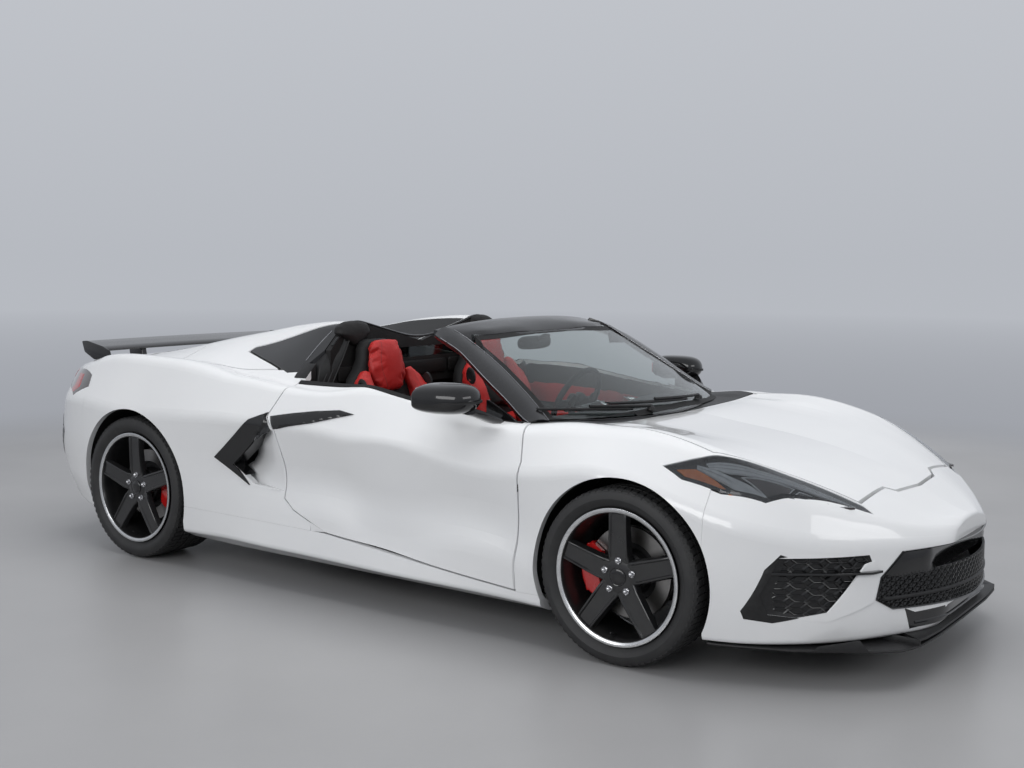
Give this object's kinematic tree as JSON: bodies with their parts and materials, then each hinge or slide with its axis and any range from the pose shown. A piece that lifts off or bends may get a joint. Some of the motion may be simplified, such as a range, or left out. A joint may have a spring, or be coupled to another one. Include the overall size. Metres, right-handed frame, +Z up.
{
  "type": "open two-seat roadster",
  "caption": "Low mid-engined open two-seat sports car with its roof stowed, opening doors, front lid, deck cover and boot lid, turning wheels and working steering.",
  "frame": {"origin": "on the ground, under the middle of the overall length and width", "axes": "+Z up, the nose points along -Y, +X is the car's left-hand (driver's) side"},
  "size_m": [2.08, 4.6301, 1.2059],
  "materials": {
    "body_paint": "white clear-coated paint",
    "gloss_black": "gloss black moulding",
    "satin_black": "satin black moulding",
    "lamp_glass": "dark lamp unit behind a clear cover",
    "tail_lens": "dark red lens",
    "glass": "lightly tinted glass",
    "frame_metal": "cast and extruded aluminium, unpainted",
    "trim_black": "black soft trim",
    "seat_leather": "red leather",
    "tyre": "black rubber",
    "wheel_black": "gloss black paint",
    "disc_iron": "machined iron",
    "caliper_red": "red paint",
    "steel": "bare steel",
    "engine_metal": null
  },
  "bodies": {
    "body": {"front_fascia": "body_paint", "front_fenders": "body_paint", "rockers": "body_paint", "quarter_panels": "body_paint", "rear_fascia": "body_paint", "front_grilles": "satin_black", "front_splitter": "gloss_black", "headlamps": "lamp_glass", "cowl": "satin_black", "windscreen_frame": "gloss_black", "windscreen_glass": "glass", "quarter_blades": "gloss_black", "sail_trims": "gloss_black", "tail_lamps": "tail_lens", "tub": "frame_metal", "deck_crossbar": "frame_metal", "roll_hoop_trim": "trim_black", "rear_window": "glass", "luggage_wells": "satin_black", "dashboard": "trim_black", "console": "trim_black", "seat_left": "seat_leather", "seat_right": "seat_leather", "engine_block": "engine_metal", "rear_diffuser": "gloss_black", "exhaust_tips": "steel", "front_arms": "frame_metal", "rear_suspension": "frame_metal", "rear_calipers": "caliper_red", "wheel_liners": "satin_black"},
    "door_left": {"door_left": "body_paint", "mirror_left": "gloss_black"},
    "door_right": {"door_right": "body_paint", "mirror_right": "gloss_black"},
    "hood": {"hood": "body_paint"},
    "tonneau": {"tonneau": "body_paint"},
    "trunk_lid": {"trunk_lid": "body_paint", "spoiler": "gloss_black"},
    "knuckle_left": {"front_knuckle_left": "frame_metal", "front_caliper_left": "caliper_red"},
    "knuckle_right": {"front_knuckle_right": "frame_metal", "front_caliper_right": "caliper_red"},
    "steering_wheel": {"steering_wheel": "trim_black"},
    "wheel_front_left": {"tyre_fl": "tyre", "wheel_fl": "wheel_black", "brake_disc_fl": "disc_iron"},
    "wheel_front_right": {"tyre_fr": "tyre", "wheel_fr": "wheel_black", "brake_disc_fr": "disc_iron"},
    "wheel_rear_left": {"tyre_rl": "tyre", "wheel_rl": "wheel_black", "brake_disc_rl": "disc_iron"},
    "wheel_rear_right": {"tyre_rr": "tyre", "wheel_rr": "wheel_black", "brake_disc_rr": "disc_iron"}
  },
  "joints": [
    {"name": "steer_left", "type": "hinge", "parent": "body", "child": "knuckle_left", "pos_m": [0.754, -1.335, 0.327], "axis": [0, 0, 1], "range_deg": [-32, 32]},
    {"name": "steer_right", "type": "hinge", "parent": "body", "child": "knuckle_right", "pos_m": [-0.754, -1.335, 0.327], "axis": [0, 0, 1], "range_deg": [-32, 32]},
    {"name": "front_left_spin", "type": "hinge", "parent": "knuckle_left", "child": "wheel_front_left", "pos_m": [0.824, -1.335, 0.327], "axis": [1, 0, 0], "continuous": true},
    {"name": "front_right_spin", "type": "hinge", "parent": "knuckle_right", "child": "wheel_front_right", "pos_m": [-0.824, -1.335, 0.327], "axis": [1, 0, 0], "continuous": true},
    {"name": "rear_left_spin", "type": "hinge", "parent": "body", "child": "wheel_rear_left", "pos_m": [0.793, 1.387, 0.3455], "axis": [1, 0, 0], "continuous": true},
    {"name": "rear_right_spin", "type": "hinge", "parent": "body", "child": "wheel_rear_right", "pos_m": [-0.793, 1.387, 0.3455], "axis": [1, 0, 0], "continuous": true},
    {"name": "steering_wheel_turn", "type": "hinge", "parent": "body", "child": "steering_wheel", "pos_m": [0.385, -0.31, 0.775], "axis": [0, 0.9063, 0.4226], "range_deg": [-504.4, 504.4]},
    {"name": "door_left_open", "type": "hinge", "parent": "body", "child": "door_left", "pos_m": [0.905, -0.85, 0.47], "axis": [0, 0, -1], "range_deg": [0, 64]},
    {"name": "door_right_open", "type": "hinge", "parent": "body", "child": "door_right", "pos_m": [-0.905, -0.85, 0.47], "axis": [0, 0, 1], "range_deg": [0, 64]},
    {"name": "hood_open", "type": "hinge", "parent": "body", "child": "hood", "pos_m": [0, -1.113, 0.83288], "axis": [-1, 0, 0], "range_deg": [0, 55]},
    {"name": "tonneau_open", "type": "hinge", "parent": "body", "child": "tonneau", "pos_m": [0, 1.302, 1.03287], "axis": [-1, 0, 0], "range_deg": [0, 35]},
    {"name": "trunk_open", "type": "hinge", "parent": "body", "child": "trunk_lid", "pos_m": [0, 1.328, 1.02527], "axis": [1, 0, 0], "range_deg": [0, 50]}
  ],
  "couplings": [
    {"joint": "steer_right", "follows": "steer_left", "ratio": 1},
    {"joint": "steering_wheel_turn", "follows": "steer_left", "ratio": 15.7}
  ]
}
